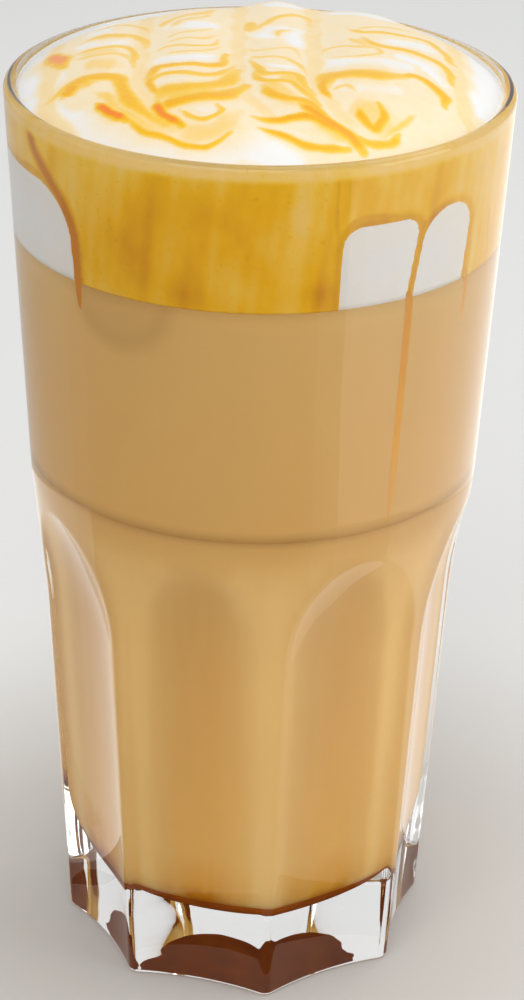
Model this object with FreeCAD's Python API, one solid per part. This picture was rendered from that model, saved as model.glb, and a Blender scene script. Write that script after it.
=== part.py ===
"""Caramel macchiato, built together with its glass.

A tall stackable glass with eight hollow flutes under pointed arches, a stacking ledge inside and a
thick star-shaped base holds, from the floor up: a little settled caramel syrup, milky coffee, and
milk foam that domes above the rim. A thin coat of caramel lines the wall in front of the foam and
leaves openings where the white foam touches the glass.

Millimetres, +Z up, origin at the centre of the base on the table. Azimuths are degrees from the
front (-Y) towards +X.
"""
import FreeCAD, Part
import math
import os

V = FreeCAD.Vector
UP = V(0, 0, 1)

# Glass, outside
GLASS_HEIGHT = 155.0
RIM_RADIUS = 40.8            # outside radius at the rim
FLANK_SLOPE = 0.0514         # growth of the radius with height
WAIST_DRAW = 1.2             # how far the fluted half stands inside the line of the upper half
WAIST_ABOVE_ARCHES = 3.0     # the flank starts to draw in this far above the arches
WAIST_ROUNDING = 60.0
RIM_ROUNDING = 0.95
EDGE_ROUNDING = 0.8          # fire-polished edges of the flutes, arches and foot
SHARP_ANGLE = 10.0           # faces that meet at more than this are rounded, in degrees

# Flutes
FLUTE_COUNT = 8
FIRST_RIDGE_AZIMUTH = 7.5
FLUTE_HOLLOW = 1.3           # depth of a flute behind the straight line between its two ridges
RIDGE_LAND = 1.2             # width of the land left on a ridge at the base
ARCH_TOP = 86.0              # height of the top of each arch
ARCH_RISE = 20.0             # a flute runs out over this height, while the flank draws in

# Glass, inside
RIM_WALL = 2.1
LEDGE_ABOVE_ARCHES = 4.5     # the stacking ledge lies this far above the arches
LEDGE_SEAT = 0.5             # the ledge reaches this far in under the ridges of a glass stacked in it
LEDGE_ROUNDING = 1.6
FLUTE_WALL = 2.1             # thickness behind the middle of a flute
FLOOR_THICKNESS = 12.5
FLOOR_ROUNDING = 9.0
KINK_ROUNDING = 150.0        # the inner wall bends gently where it starts to follow the flutes

# Underside
PUNT_DEPTH = 1.0
PUNT_RADIUS = 20.0
PUNT_FLANK = 2.5             # width of the sloping edge of the punt

# What the glass holds
SYRUP_DEPTH = 3.5            # settled on the floor
FOAM_DEPTH = 24.0            # from the rim down to the coffee
FOAM_EDGE_BELOW_RIM = 1.4    # where the foam meets the wall
FOAM_RISE = 7.0              # height of the dome above its edge
FOAM_SHOULDER = 4.0          # exponent of the dome: 2 is a plain cap, more is flatter with a shoulder
FOAM_LEAN = 2.0              # the highest point stands this far to the right of the axis

# Drag strokes: valleys drawn through the foam from rear to front, by their place across the glass
STROKE_PLACES = (-18.8, -3.6, 8.4)
STROKE_DEPTH = 0.9
STROKE_WIDTH = 4.6
STROKE_BEND = 5.0            # each stroke bends towards the right at the front by this much
SURFACE_SAMPLES = 37         # grid lines of the foam's top surface each way

# Caramel coat between the foam and the glass
COAT_THICKNESS = 0.8
COAT_TOP_BELOW_RIM = 2.4
# Openings in the coat: azimuth, width at the bottom, width at the top, height, lean, corner rounding
OPENINGS = (
    (-74.0, 36.0, 34.0, 14.2, 0.0, 8.0),
    (27.7, 11.1, 12.6, 13.0, 1.1, 2.8),
    (46.6, 10.6, 9.8, 13.4, 1.6, 4.6),
    (128.0, 15.0, 11.0, 12.0, -1.0, 4.5),
    (-152.0, 19.0, 15.0, 10.5, 1.5, 4.5),
)


ARCH_FOOT = ARCH_TOP - ARCH_RISE
WAIST_TOP = ARCH_TOP + WAIST_ABOVE_ARCHES
LEDGE_HEIGHT = ARCH_TOP + LEDGE_ABOVE_ARCHES
SYRUP_LEVEL = FLOOR_THICKNESS + SYRUP_DEPTH
COFFEE_LEVEL = GLASS_HEIGHT - FOAM_DEPTH


def flank_radius(z):
    """Outside radius of the plain upper flank, continued down to any height."""
    return RIM_RADIUS - FLANK_SLOPE * (GLASS_HEIGHT - z)


def drawn_in_radius(z):
    """Outside radius of the ridges in the fluted half."""
    return flank_radius(z) - WAIST_DRAW


def flute_shape():
    """Radius of a flute's hollow and the distance of its middle from the axis, both at the base.

    The hollow is a circle through the two edges of the ridges' lands, FLUTE_HOLLOW behind the
    straight line between them.
    """
    ridge = drawn_in_radius(0)
    half_angle = math.pi / FLUTE_COUNT - RIDGE_LAND / 2 / ridge
    half_chord = ridge * math.sin(half_angle)
    hollow_radius = (half_chord ** 2 + FLUTE_HOLLOW ** 2) / (2 * FLUTE_HOLLOW)
    middle = ridge * math.cos(half_angle) - FLUTE_HOLLOW
    return hollow_radius, middle


def flute_middle_radius(z):
    """Distance of a flute's middle line from the axis, below the run-out."""
    return flute_shape()[1] + FLANK_SLOPE * z


def waist_radius(z):
    """Outside radius between the foot of the arches and the top of the waist."""
    share = (z - ARCH_FOOT) / (WAIST_TOP - ARCH_FOOT)
    return flank_radius(z) - WAIST_DRAW * (1 - share)


def rounded_face(corners):
    """Face in the XZ plane from corners (x, z, rounding), each rounded by a tangent arc."""
    points = [V(x, 0, z) for x, z, _ in corners]
    starts, middles, ends = [], [], []
    for i, (_, _, rounding) in enumerate(corners):
        here = points[i]
        back = (points[i - 1] - here).normalize()
        onward = (points[(i + 1) % len(points)] - here).normalize()
        half = back.getAngle(onward) / 2
        reach = rounding / math.tan(half)
        starts.append(here + back * reach)
        ends.append(here + onward * reach)
        inward = (back + onward).normalize() if rounding else V()
        middles.append(here + inward * (rounding / math.sin(half) - rounding))
    edges = []
    for i, (_, _, rounding) in enumerate(corners):
        if rounding:
            edges.append(Part.Arc(starts[i], middles[i], ends[i]).toShape())
        following = starts[(i + 1) % len(corners)]
        if ends[i].distanceToPoint(following) > 1e-6:
            edges.append(Part.LineSegment(ends[i], following).toShape())
    return Part.Face(Part.Wire(edges))


def turned(corners):
    """Solid of revolution about Z from profile corners (radius, height, rounding)."""
    return rounded_face(corners).revolve(V(), UP, 360)


def wall_radius(z):
    """Radius of the inner wall above the ledge."""
    return flank_radius(z) - RIM_WALL


def inner_wall_corners(top, top_rounding):
    """Profile corners of the cavity, from the middle of its floor up to the given height."""
    foot = FLOOR_THICKNESS
    return [
        (0, foot, 0),
        (flute_middle_radius(foot) - FLUTE_WALL, foot, FLOOR_ROUNDING),
        (flute_middle_radius(ARCH_FOOT) - FLUTE_WALL, ARCH_FOOT, KINK_ROUNDING),
        (drawn_in_radius(0) - LEDGE_SEAT, LEDGE_HEIGHT, LEDGE_ROUNDING),
        (wall_radius(LEDGE_HEIGHT), LEDGE_HEIGHT, LEDGE_ROUNDING),
        (wall_radius(top), top, top_rounding),
    ]


def glass_blank():
    """The turned glass before its flutes are pressed in."""
    outside = [
        (0, PUNT_DEPTH, 0),
        (PUNT_RADIUS - PUNT_FLANK, PUNT_DEPTH, 1.0),
        (PUNT_RADIUS, 0, 1.0),
        (drawn_in_radius(0), 0, 0),
        (drawn_in_radius(ARCH_FOOT), ARCH_FOOT, WAIST_ROUNDING),
        (flank_radius(WAIST_TOP), WAIST_TOP, WAIST_ROUNDING),
        (RIM_RADIUS, GLASS_HEIGHT, RIM_ROUNDING),
    ]
    inside = inner_wall_corners(GLASS_HEIGHT, RIM_ROUNDING)
    return turned(outside + inside[::-1])


def flute_cutter():
    """Cutter of one flute, at the front: a straight run up the flank, then an arc that runs out.

    Its section is a segment of the hollow's circle. The arc is tangent to the straight run and
    leaves the glass at ARCH_TOP.
    """
    hollow_radius, _ = flute_shape()
    depth = 1.5 * (drawn_in_radius(0) - flute_middle_radius(0)) + WAIST_DRAW
    half_width = math.sqrt(hollow_radius ** 2 - (hollow_radius - depth) ** 2)
    along = V(0, -FLANK_SLOPE, 1).normalize()
    outward = V(0, -1, -FLANK_SLOPE).normalize()
    start_height = -0.05 * GLASS_HEIGHT
    start = V(0, -flute_middle_radius(start_height), start_height)
    foot = V(0, -flute_middle_radius(ARCH_FOOT), ARCH_FOOT)
    run = foot - start

    left = start + V(-half_width, 0, 0) + outward * depth
    right = start + V(half_width, 0, 0) + outward * depth
    hollow = Part.Arc(left, start, right).toShape()
    section = Part.Face(Part.Wire([hollow, Part.LineSegment(right, left).toShape()]))
    straight = section.extrude(run)

    exit_point = V(0, -waist_radius(ARCH_TOP), ARCH_TOP) - foot
    rise = exit_point.dot(along)
    offset = exit_point.dot(outward)
    arc_radius = (rise ** 2 + offset ** 2) / (2 * offset)
    exit_angle = math.degrees(math.asin(rise / arc_radius))
    end_section = section.translated(run)
    arc = end_section.revolve(foot + outward * arc_radius, V(1, 0, 0), 1.2 * exit_angle)
    return straight.fuse(arc)


def meeting_angle(edge, faces):
    """Angle between the normals of an edge's two faces at its middle, in degrees."""
    if len(faces) < 2:
        return 0
    middle = edge.valueAt((edge.FirstParameter + edge.LastParameter) / 2)
    normals = [face.normalAt(*face.Surface.parameter(middle)) for face in faces]
    return math.degrees(normals[0].getAngle(normals[1]))


def make_glass():
    """Glass with its flutes, all its edges rounded."""
    cutter = flute_cutter()
    step = 360 / FLUTE_COUNT
    cutters = []
    for i in range(FLUTE_COUNT):
        flute = cutter.copy()
        flute.rotate(V(), UP, FIRST_RIDGE_AZIMUTH + (i + 0.5) * step)
        cutters.append(flute)
    glass = glass_blank().cut(cutters).Solids[0]
    edges = [edge for edge in glass.Edges
             if meeting_angle(edge, glass.ancestorsOfType(edge, Part.Face)) > SHARP_ANGLE]
    return glass.makeFillet(EDGE_ROUNDING, edges)


def slab(low, high):
    """Wide flat disc between two heights, to take a layer out of the cavity."""
    return Part.makeCylinder(2 * RIM_RADIUS, high - low, V(0, 0, low))


def make_cavity():
    """The space inside the glass up to the straight part of the rim."""
    top = GLASS_HEIGHT - RIM_ROUNDING
    corners = inner_wall_corners(top, 0) + [(0, top, 0)]
    return turned(corners)


def foam_height(x, y):
    """Height of the foam's top: a shouldered dome with valleys where it was dragged through."""
    edge_height = GLASS_HEIGHT - FOAM_EDGE_BELOW_RIM
    edge_radius = wall_radius(edge_height)
    from_axis = math.hypot(x, y) / edge_radius
    lean = 1 - min(from_axis, 1) ** 2
    from_top = math.hypot(x - FOAM_LEAN * lean, y) / edge_radius
    dome = 1 - from_top ** FOAM_SHOULDER
    valleys = 0
    for place in STROKE_PLACES:
        across = x - place + STROKE_BEND * y / edge_radius
        valleys += STROKE_DEPTH * math.exp(-(across / STROKE_WIDTH) ** 2)
    return edge_height + FOAM_RISE * dome - valleys * max(dome, 0)


def above_foam():
    """Everything above the foam's top surface."""
    reach = 1.05 * RIM_RADIUS
    steps = [reach * (2 * i / (SURFACE_SAMPLES - 1) - 1) for i in range(SURFACE_SAMPLES)]
    grid = [[V(x, y, foam_height(x, y)) for y in steps] for x in steps]
    surface = Part.BSplineSurface()
    surface.interpolate(grid)
    return surface.toShape().extrude(V(0, 0, GLASS_HEIGHT))


def foam_blank():
    """Foam from the coffee up to well above the dome, following the wall up to the rim."""
    straight = GLASS_HEIGHT - RIM_ROUNDING
    top = GLASS_HEIGHT + 2 * FOAM_RISE
    return turned([
        (0, COFFEE_LEVEL, 0),
        (wall_radius(COFFEE_LEVEL), COFFEE_LEVEL, 0),
        (wall_radius(straight), straight, 0),
        (wall_radius(straight), top, 0),
        (0, top, 0),
    ])


def coat_openings():
    """Cutters for the openings in the coat: rounded shapes driven outwards through the wall."""
    cutters = []
    for azimuth, bottom, top, height, lean, rounding in OPENINGS:
        foot = COFFEE_LEVEL - height
        face = rounded_face([
            (-bottom / 2, foot, 0),
            (bottom / 2, foot, 0),
            (bottom / 2, COFFEE_LEVEL, 0),
            (top / 2 + lean, COFFEE_LEVEL + height, rounding),
            (-top / 2 + lean, COFFEE_LEVEL + height, rounding),
            (-bottom / 2, COFFEE_LEVEL, 0),
        ])
        cutter = face.extrude(V(0, -2 * RIM_RADIUS, 0))
        cutter.rotate(V(), UP, azimuth)
        cutters.append(cutter)
    return cutters


def make_coat():
    """Thin caramel coat on the wall, from the coffee up to just under the rim."""
    top = GLASS_HEIGHT - COAT_TOP_BELOW_RIM
    ring = turned([
        (wall_radius(COFFEE_LEVEL) - COAT_THICKNESS, COFFEE_LEVEL, 0),
        (wall_radius(COFFEE_LEVEL), COFFEE_LEVEL, 0),
        (wall_radius(top), top, 0),
        (wall_radius(top) - COAT_THICKNESS, top, 0),
    ])
    return ring.cut(coat_openings())


def build():
    """All nodes, by name."""
    cavity = make_cavity()
    coat = make_coat()
    return {
        "glass": make_glass(),
        "caramel_syrup": cavity.common(slab(0, SYRUP_LEVEL)),
        "coffee": cavity.common(slab(SYRUP_LEVEL, COFFEE_LEVEL)),
        "milk_foam": foam_blank().cut(above_foam()).cut(coat),
        "caramel_coat": coat,
    }


os.makedirs("parts", exist_ok=True)
for name, shape in build().items():
    print(name, shape.ShapeType, "solids", len(shape.Solids), "faces", len(shape.Faces),
          "valid", shape.isValid(), "litres", round(shape.Volume / 1e6, 4))
    shape.exportStep("parts/" + name + ".step")
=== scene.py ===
# %% [markdown]
# # Caramel macchiato in its glass
#
# The drink is served in a tall pressed glass. Its lower half is cut by eight hollow flutes that run
# out under arches, and a ledge inside lets one glass stand in the next. Caramel was run round the
# wall before the milky coffee went in, milk foam was spooned on until it domed over the rim, and
# more caramel was poured over the foam in lines and drawn through it with a skewer.
#
# Such forms could be turned and sculpted by hand. Here each is a surface worked out with numpy, so
# that every size is one value that can be changed. Lengths are in millimetres until a mesh is made.
# Azimuths are angles from the front (-Y) towards +X.

# %% The frame and its levels
import math

import bpy
import numpy as np
from mathutils import Matrix, Vector


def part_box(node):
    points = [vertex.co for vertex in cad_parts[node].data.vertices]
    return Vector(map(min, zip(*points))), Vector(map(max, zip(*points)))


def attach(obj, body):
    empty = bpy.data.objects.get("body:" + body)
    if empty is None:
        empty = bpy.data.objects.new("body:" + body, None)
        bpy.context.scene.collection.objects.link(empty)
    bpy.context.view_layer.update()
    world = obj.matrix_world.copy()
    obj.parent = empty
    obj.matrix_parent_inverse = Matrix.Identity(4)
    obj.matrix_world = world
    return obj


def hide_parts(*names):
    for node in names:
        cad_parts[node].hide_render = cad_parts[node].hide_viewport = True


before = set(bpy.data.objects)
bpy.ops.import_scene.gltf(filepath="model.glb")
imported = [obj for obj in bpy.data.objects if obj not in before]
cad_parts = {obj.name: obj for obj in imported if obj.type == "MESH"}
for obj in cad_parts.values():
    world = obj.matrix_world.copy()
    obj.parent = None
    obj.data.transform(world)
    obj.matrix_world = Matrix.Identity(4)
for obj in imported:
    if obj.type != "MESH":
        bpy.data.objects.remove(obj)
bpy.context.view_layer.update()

MM = 0.001
GLASS_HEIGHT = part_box("glass")[1][2] / MM
COFFEE_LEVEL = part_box("coffee")[1][2] / MM
SYRUP_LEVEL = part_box("caramel_syrup")[1][2] / MM
FLOOR_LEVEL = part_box("caramel_syrup")[0][2] / MM
print(len(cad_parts), "solids; syrup from", round(FLOOR_LEVEL, 2), "to", round(SYRUP_LEVEL, 2),
      "coffee to", round(COFFEE_LEVEL, 2), "glass to", round(GLASS_HEIGHT, 2))

# %% [markdown]
# ## Camera
#
# The glass is seen from a little above and close by, so the rim is an open ellipse and the base is
# narrower than the rim. A camera could be aimed by a constraint. Its axes are worked out here from
# three angles instead, because they also hold the slight roll.

# %% Camera
CAMERA_PLACE = (0, -430.1, 296.3)
CAMERA_PITCH = math.radians(26.65)
CAMERA_YAW = math.radians(0.229)
CAMERA_ROLL = math.radians(1.279)
CAMERA_LENS = 101.6
NEAREST_SEEN = 10


def make_camera():
    """Camera from its place, its pitch below the horizon, its yaw to the right and its roll."""
    ahead = Vector((math.sin(CAMERA_YAW) * math.cos(CAMERA_PITCH),
                    math.cos(CAMERA_YAW) * math.cos(CAMERA_PITCH), -math.sin(CAMERA_PITCH)))
    right = ahead.cross(Vector((0, 0, 1))).normalized()
    up = right.cross(ahead)
    turned_right = right * math.cos(CAMERA_ROLL) + up * math.sin(CAMERA_ROLL)
    turned_up = up * math.cos(CAMERA_ROLL) - right * math.sin(CAMERA_ROLL)
    camera = bpy.data.objects.new("camera", bpy.data.cameras.new("camera"))
    camera.data.lens = CAMERA_LENS
    camera.data.clip_start = NEAREST_SEEN * MM
    axes = Matrix((turned_right, turned_up, -ahead)).transposed()
    camera.matrix_world = Matrix.Translation(Vector(CAMERA_PLACE) * MM) @ axes.to_4x4()
    bpy.context.collection.objects.link(camera)
    bpy.context.scene.camera = camera
    return camera


bpy.context.scene.view_settings.view_transform = "Standard"
print("lens", make_camera().data.lens, "mm at", CAMERA_PLACE)

# %% [markdown]
# ## Formulas for materials
#
# A material is a net of nodes. It could be wired by hand in the editor, but it reads best as a
# formula. This class wraps one output of a node tree, and each sign between wires and numbers adds
# one Math node. Each sign has its reflected form, so that 1 - mask works too.

# %% A wire that can be added and multiplied
class Wire:
    """One output socket. Sums and products of wires and numbers add Math nodes to the tree."""

    def __init__(self, tree, socket):
        self.tree = tree
        self.socket = socket

    def math(self, operation, *operands):
        """Result of a Math node on the given wires or numbers."""
        return new_node(self.tree, "ShaderNodeMath", {"operation": operation}, dict(enumerate(operands)))

    def __add__(self, other):
        return self.math("ADD", self, other)

    __radd__ = __add__

    def __mul__(self, other):
        return self.math("MULTIPLY", self, other)

    __rmul__ = __mul__

    def __sub__(self, other):
        return self.math("SUBTRACT", self, other)

    def __rsub__(self, other):
        return self.math("SUBTRACT", other, self)

    def __truediv__(self, other):
        return self.math("DIVIDE", self, other)

    def __rtruediv__(self, other):
        return self.math("DIVIDE", other, self)

    def at_least(self, other):
        """The larger of the two."""
        return self.math("MAXIMUM", self, other)

    def at_most(self, other):
        """The smaller of the two."""
        return self.math("MINIMUM", self, other)

    def step(self, low, high):
        """0 below low, 1 above high, and a smooth slope between."""
        return new_node(self.tree, "ShaderNodeMapRange", {"interpolation_type": "SMOOTHSTEP"},
                        {"Value": self, "From Min": low, "From Max": high})


# %% [markdown]
# Every other node comes from one method. It takes the node's type, then its settings, then the
# values or wires of its inputs, in that order, because some settings change which inputs there are.
# A ramp's stops are a setting like the rest.

# %% Any node
def connect(value, slot):
    """Puts a wire, a number or a colour into an input."""
    if isinstance(value, Wire):
        value.tree.links.new(value.socket, slot)
    else:
        slot.default_value = value


def set_stops(elements, stops):
    """Gives a ramp its stops (place, colour) in rising order; the two that it has end it."""
    for element, (place, colour) in zip(elements, (stops[0], stops[-1])):
        element.position = place
        element.color = colour
    for place, colour in stops[1:-1]:
        elements.new(place).color = colour


def new_node(tree, kind, settings=None, inputs=None, output=0):
    """Adds a node, makes its settings, feeds its inputs and returns one output, or a list of them."""
    node = tree.nodes.new(kind)
    for name, value in (settings or {}).items():
        if name == "stops":
            set_stops(node.color_ramp.elements, value)
        else:
            setattr(node, name, value)
    for name, value in (inputs or {}).items():
        connect(value, node.inputs[name])
    if isinstance(output, tuple):
        return [Wire(tree, node.outputs[name]) for name in output]
    return Wire(tree, node.outputs[output])


# %% [markdown]
# Grain, streaks and clouds could be painted textures, but these have to be unwrapped, and stretch.
# Noise on Object coordinates keeps its true size in millimetres on every piece. To draw the grains
# out along an axis, that axis is multiplied by less than 1.

# %% Coordinates and patterns
def attribute(tree, name):
    """A number stored on the mesh's points."""
    return new_node(tree, "ShaderNodeAttribute", {"attribute_name": name}, output="Fac")


def place_on_object(tree):
    """Object coordinates as a vector in millimetres."""
    place = new_node(tree, "ShaderNodeTexCoord", output="Object")
    return new_node(tree, "ShaderNodeVectorMath", {"operation": "SCALE"}, {0: place, "Scale": 1 / MM})


def height_on_object(tree):
    """Height above the underside of the glass, in millimetres."""
    return new_node(tree, "ShaderNodeSeparateXYZ", {}, {0: place_on_object(tree)}, "Z")


def noise(tree, size, detail, stretch=(1, 1, 1)):
    """Noise from about 0 to 1, its grains of the given size in millimetres, divided by the stretch."""
    place = place_on_object(tree)
    if stretch != (1, 1, 1):
        place = new_node(tree, "ShaderNodeVectorMath", {"operation": "MULTIPLY"}, {0: place, 1: stretch})
    return new_node(tree, "ShaderNodeTexNoise", {}, {"Vector": place, "Scale": 1 / size, "Detail": detail})


def ramp(tree, value, *stops):
    """Colour from a number, between the stops (place, colour) in rising order."""
    return new_node(tree, "ShaderNodeValToRGB", {"stops": stops}, {0: value})


def blend(tree, share, first, second):
    """The first colour where the share is 0 and the second where it is 1."""
    return new_node(tree, "ShaderNodeMix", {"data_type": "RGBA"}, {0: share, 6: first, 7: second}, 2)


def bump(tree, height, depth):
    """Normal bent by a height from 0 to 1 that stands for a depth in millimetres."""
    return new_node(tree, "ShaderNodeBump", {}, {"Height": height, "Distance": depth * MM, "Strength": 1.0})


# %% [markdown]
# ## Colours behind glass
#
# A filling that wets its glass looks darker than in the open: a third of the light that it scatters
# is caught in the glass and lost, while the outside adds a faint reflection. Each colour could be
# found by trial. With one formula for the loss, every colour is written as it should look.

# %% Colours and materials
SEEN_THROUGH_GLASS = 0.66
FAINT_REFLECTION = 0.02


def srgb(red, green, blue):
    """Linear colour from one on the 0 to 255 scale of a screen: ((v + 0.055) / 1.055)^2.4."""
    values = np.array([red, green, blue]) / 255
    linear = np.where(values > 0.04045, ((values + 0.055) / 1.055) ** 2.4, values / 12.92)
    return (*linear.tolist(), 1.0)


def under_glass(red, green, blue):
    """Colour of a wet filling that looks like the given one: seen = 0.66 colour + 0.02, turned round."""
    seen = np.array(srgb(red, green, blue)[:3])
    return (*np.clip((seen - FAINT_REFLECTION) / SEEN_THROUGH_GLASS, 0, 1).tolist(), 1.0)


def new_material(name, **constants):
    """Material with a Principled shader whose plain values are set by name, its tree and the shader."""
    material = bpy.data.materials.new(name)
    material.use_nodes = True
    shader = material.node_tree.nodes["Principled BSDF"]
    feed(shader, **constants)
    return material, material.node_tree, shader


def feed(shader, **values):
    """Puts values or wires into the shader's inputs, named with _ for each space."""
    for name, value in values.items():
        connect(value, shader.inputs[name.replace("_", " ")])


def dress(piece, material):
    """Gives a piece its material and prints the size of its tree."""
    piece.data.materials.append(material)
    print(piece.name, "wears", material.name, "of", len(material.node_tree.nodes), "nodes")


# %% [markdown]
# ## Turned surfaces
#
# Most of the object is turned. A Screw modifier could turn a profile, but flutes, openings and
# relief change from azimuth to azimuth. So each surface is a stack of rings: its columns run round
# the axis from the front towards +X, and its rows run from the pole under the object outwards and
# up, which turns every face outwards. A pole is one point with a fan of triangles, and the last
# column joins the first, so no surface is left open.

# %% Rings and poles
def around(radius, azimuth, height):
    """Points (r sin a, -r cos a, h) from a radius, an azimuth in radians and a height."""
    radius, azimuth, height = np.broadcast_arrays(radius, azimuth, height)
    return np.stack([radius * np.sin(azimuth), -radius * np.cos(azimuth), height], axis=-1)


def all_round(columns):
    """Evenly spaced azimuths of a whole turn."""
    return np.arange(columns) * 2 * math.pi / columns


def turned(rows, azimuth):
    """Rings from rows (radius, height), each a number or an array over the azimuths."""
    return np.stack([around(radius, azimuth, height) for radius, height in rows])


def ring_faces(rows, columns):
    """Quads between neighbouring rings; the last column joins the first."""
    row, column = np.meshgrid(np.arange(rows - 1), np.arange(columns), indexing="ij")
    onward = (column + 1) % columns
    quads = np.stack([row * columns + column, row * columns + onward,
                      (row + 1) * columns + onward, (row + 1) * columns + column], axis=-1)
    return quads.reshape(-1, 4).tolist()


def fan(pole, ring, outward=True):
    """Triangles from a pole to a ring of point numbers."""
    onward = np.roll(ring, -1)
    pair = (onward, ring) if outward else (ring, onward)
    return np.stack([np.full(len(ring), pole), *pair], axis=-1).tolist()


def closed_stack(rings, first_pole, last_pole):
    """Points and faces of rings closed by a pole under the first and one at the last."""
    rows, columns = rings.shape[:2]
    points = np.concatenate([rings.reshape(-1, 3), [first_pole, last_pole]])
    last = (rows - 1) * columns
    faces = ring_faces(rows, columns)
    faces += fan(rows * columns, np.arange(columns))
    faces += fan(rows * columns + 1, last + np.arange(columns), outward=False)
    return points, faces


# %% [markdown]
# Each finished piece rides on the one body of the object and stands for its plain solid where it has
# one; its material is given to it afterwards. Numbers that its material needs, such as how thick the
# caramel is, are stored on the points, because a formula over the points is quick in numpy and
# would be slow and long in nodes.

# %% A finished piece
def new_piece(name, points, faces, replaced=(), values=None):
    """Object from points in millimetres and faces, smooth, with the given numbers on its points."""
    mesh = bpy.data.meshes.new(name)
    mesh.from_pydata((points * MM).tolist(), [], faces)
    mesh.polygons.foreach_set("use_smooth", np.ones(len(mesh.polygons), bool))
    for label, numbers in (values or {}).items():
        stored = mesh.attributes.new(label, "FLOAT", "POINT")
        stored.data.foreach_set("value", np.ravel(numbers).astype(np.float32))
    mesh.update()
    piece = bpy.data.objects.new(name, mesh)
    bpy.context.collection.objects.link(piece)
    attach(piece, "root")
    if replaced:
        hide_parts(*replaced)
    mesh.calc_loop_triangles()
    print(name, len(mesh.vertices), "points", len(mesh.loop_triangles), "triangles")
    return piece


# %% [markdown]
# ## Profile of the glass
#
# Pressed glass is one piece, soft at every edge. Its lower flank stands a little inside the line of
# the upper one, and inside it has a thick floor and a ledge. The profile could be drawn as a spline.
# Straight runs with a named rounding at each corner say it in a mould maker's sizes.

# %% Sizes of the glass
RIM_RADIUS = 40.8
FLANK_SLOPE = 0.0514
WAIST_DRAW = 1.2
WAIST_TOP = 89.0
RIM_ROUNDING, FOOT_ROUNDING, FLOOR_ROUNDING = 0.95, 0.8, 9
WAIST_BEND, INSIDE_BEND = 60, 150
FLUTE_COUNT = 8
FLUTE_PITCH = 2 * math.pi / FLUTE_COUNT
FIRST_RIDGE_AZIMUTH = math.radians(7.5)
FLUTE_HOLLOW = 1.3
RIDGE_LAND = 1.2
ARCH_TOP, ARCH_FOOT = 86.0, 66.0
WALL = 2.1
LEDGE_HEIGHT, LEDGE_SEAT, LEDGE_ROUNDING = 90.5, 0.5, 1.6
PUNT_DEPTH, PUNT_RADIUS = 1.0, 20.0
PAST_RIM, PAST_FOOT = 170, -10


def flank_radius(z):
    """Outside of the upper flank: it narrows by the slope for each millimetre below the rim."""
    return RIM_RADIUS - FLANK_SLOPE * (GLASS_HEIGHT - z)


def drawn_in_radius(z):
    """Outside of the lower flank, drawn in from the line of the upper one."""
    return flank_radius(z) - WAIST_DRAW


def wall_radius(z):
    """Inside of the wall above the ledge."""
    return flank_radius(z) - WALL


# %% A path with rounded corners
def unit(vector):
    """The vector over its length."""
    return vector / np.linalg.norm(vector)


def rounded_path(corners, arc_points):
    """Points along corners (radius, height, rounding), with an arc that touches both sides of each.

    The arc's centre lies on the half-way line at rounding / sin(half the corner's angle), and its
    points turn evenly from one touching point to the other.
    """
    spots = np.array([corner[:2] for corner in corners], float)
    path = [spots[0]]
    for i in range(1, len(spots) - 1):
        rounding = corners[i][2]
        before, after = unit(spots[i - 1] - spots[i]), unit(spots[i + 1] - spots[i])
        half = math.acos(float(np.clip(before @ after, -1, 1))) / 2
        centre = spots[i] + unit(before + after) * rounding / math.sin(half)
        first = unit(spots[i] + before * rounding / math.tan(half) - centre)
        last = unit(spots[i] + after * rounding / math.tan(half) - centre)
        turn = math.pi - 2 * half
        for share in np.linspace(0, 1, arc_points):
            arm = (first * math.sin((1 - share) * turn) + last * math.sin(share * turn)) / math.sin(turn)
            path.append(centre + arm * rounding)
    path.append(spots[-1])
    return np.array(path)


# %% Outer and inner profile
half_angle = FLUTE_PITCH / 2 - RIDGE_LAND / 2 / drawn_in_radius(0)
half_chord = drawn_in_radius(0) * math.sin(half_angle)
flute_round = (half_chord ** 2 + FLUTE_HOLLOW ** 2) / (2 * FLUTE_HOLLOW)
flute_middle_at_base = drawn_in_radius(0) * math.cos(half_angle) - FLUTE_HOLLOW

outer_path = rounded_path([
    (drawn_in_radius(PAST_FOOT), PAST_FOOT, 0), (drawn_in_radius(ARCH_FOOT), ARCH_FOOT, WAIST_BEND),
    (flank_radius(WAIST_TOP), WAIST_TOP, WAIST_BEND), (flank_radius(PAST_RIM), PAST_RIM, 0)], 30)
inner_path = rounded_path([
    (0, FLOOR_LEVEL, 0),
    (flute_middle_at_base + FLANK_SLOPE * FLOOR_LEVEL - WALL, FLOOR_LEVEL, FLOOR_ROUNDING),
    (flute_middle_at_base + FLANK_SLOPE * ARCH_FOOT - WALL, ARCH_FOOT, INSIDE_BEND),
    (drawn_in_radius(0) - LEDGE_SEAT, LEDGE_HEIGHT, LEDGE_ROUNDING),
    (flank_radius(LEDGE_HEIGHT) - WALL, LEDGE_HEIGHT, LEDGE_ROUNDING),
    (flank_radius(PAST_RIM) - WALL, PAST_RIM, 0)], 13)
print("flute of radius", round(flute_round, 1), "and middle at", round(flute_middle_at_base, 2))

# %% [markdown]
# ## Flutes
#
# A flute is part of a large cylinder that leans with the flank. Above ARCH_FOOT it bends outwards on
# an arc until it leaves the glass at the arch. It could be cut with a Boolean, which leaves long thin
# faces at the ridges. As a formula it gives an even grid: in a level section the flute is a circle of
# radius p whose middle lies at m + p from the axis, so at an angle a from the flute's middle its
# radius is c - sqrt(c^2 - m(m + 2p)), with c = (m + p) cos a. The outside is the smaller of this and
# the turned body, with the edge between them eased.

# %% Middle line of a flute
# share of its radius that the arc is followed to
ARC_LIMIT = 0.9


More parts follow.
